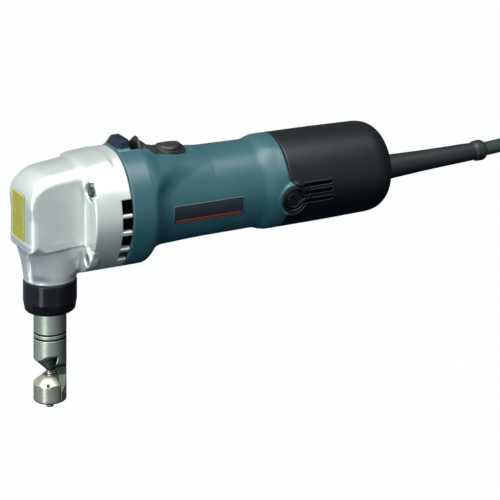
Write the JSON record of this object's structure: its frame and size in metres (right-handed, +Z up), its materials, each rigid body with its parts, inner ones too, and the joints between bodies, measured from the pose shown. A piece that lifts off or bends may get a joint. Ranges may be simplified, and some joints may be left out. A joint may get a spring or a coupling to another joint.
{
  "type": "electric nibbler",
  "caption": "Hand-held electric sheet-metal nibbler: cast gear head with crank-driven ram, punch and die, barrel motor housing, slide switch, rear cover and cord.",
  "frame": {"origin": "on the punch axis, on the flat sloping top of the gear housing", "axes": "+X from the punch towards the cord along the motor axis, +Z up and parallel to the punch axis, +Y completes a right-handed frame"},
  "size_m": [0.3937, 0.075, 0.1643],
  "materials": {
    "cast_aluminium": "satin fine-cast, lightly bead blasted",
    "housing_plastic_teal": "semi-gloss moulded, dark blue-green",
    "cover_plastic_black": "semi-gloss moulded black",
    "rubber_black": "matte",
    "ground_steel": "ground",
    "tool_steel": "turned, warm grey",
    "blackened_steel": "black oxide, glossy",
    "brass": "machined",
    "copper": "bare copper and enamelled wire",
    "lamination_iron": "stacked laminations",
    "carbon": "pressed carbon, dull",
    "label_yellow": "printed foil, no wording",
    "name_plate_dark": "printed foil, no wording",
    "felt": "pressed felt",
    "nylon": "moulded",
    "capacitor_film": "dipped"
  },
  "bodies": {
    "housing": {"gear_housing": "cast_aluminium", "front_label": "label_yellow", "ram_guide_bush": "brass", "felt_seal": "felt", "crank_bearing_front": "ground_steel", "crank_bearing_rear": "ground_steel", "bearing_plate": "cast_aluminium", "armature_bearing_front": "ground_steel", "armature_bearing_rear": "ground_steel", "motor_housing": "housing_plastic_teal", "field_core": "lamination_iron", "field_winding_front": "copper", "field_winding_rear": "copper", "baffle_plate": "cover_plastic_black", "brush_holder_left": "brass", "brush_holder_right": "brass", "carbon_brush_left": "carbon", "carbon_brush_right": "carbon", "brush_spring_left": "ground_steel", "brush_spring_right": "ground_steel", "brush_cap_left": "cover_plastic_black", "brush_cap_right": "cover_plastic_black", "rear_cover": "cover_plastic_black", "cover_screw_1": "blackened_steel", "cover_screw_2": "blackened_steel", "cord_guard": "rubber_black", "supply_cord": "rubber_black", "cord_clamp": "nylon", "clamp_screw_left": "blackened_steel", "clamp_screw_right": "blackened_steel", "switch_unit": "cover_plastic_black", "suppressor_capacitor": "capacitor_film", "name_plate": "name_plate_dark", "rating_plate": "cast_aluminium", "housing_screw_1": "blackened_steel", "housing_screw_2": "blackened_steel", "housing_screw_3": "blackened_steel", "housing_screw_4": "blackened_steel"},
    "armature": {"armature_shaft": "ground_steel", "armature_core": "lamination_iron", "armature_winding_front": "copper", "armature_winding_rear": "copper", "commutator": "copper", "fan": "nylon"},
    "crank": {"crank_shaft": "ground_steel", "drive_gear": "ground_steel", "pin_roller": "ground_steel"},
    "ram": {"ram": "ground_steel", "punch": "tool_steel", "punch_set_screw": "blackened_steel"},
    "die_holder": {"die_holder": "tool_steel", "die": "tool_steel", "die_screw_left": "blackened_steel", "die_screw_right": "blackened_steel"},
    "lock_nut": {"lock_nut": "blackened_steel"},
    "switch_slider": {"switch_lever": "cover_plastic_black", "switch_pad": "rubber_black", "switch_link": "ground_steel"}
  },
  "joints": [
    {"name": "armature_spin", "type": "hinge", "parent": "housing", "child": "armature", "pos_m": [0.1, 0, -0.0306], "axis": [1, 0, 0], "continuous": true},
    {"name": "crank_spin", "type": "hinge", "parent": "housing", "child": "crank", "pos_m": [0.02, 0, -0.0168], "axis": [1, 0, 0], "continuous": true},
    {"name": "ram_slide", "type": "slide", "parent": "housing", "child": "ram", "axis": [0, 0, 1], "range_m": [0, 0.005]},
    {"name": "die_holder_turn", "type": "hinge", "parent": "housing", "child": "die_holder", "pos_m": [0, 0, -0.1], "axis": [0, 0, 1], "continuous": true},
    {"name": "lock_nut_turn", "type": "hinge", "parent": "housing", "child": "lock_nut", "pos_m": [0, 0, -0.08], "axis": [0, 0, -1], "range_deg": [0, 360]},
    {"name": "switch_slide", "type": "slide", "parent": "housing", "child": "switch_slider", "axis": [-1, 0, 0], "range_m": [0, 0.005]}
  ],
  "couplings": [
    {"joint": "crank_spin", "follows": "armature_spin", "ratio": -0.17949}
  ]
}
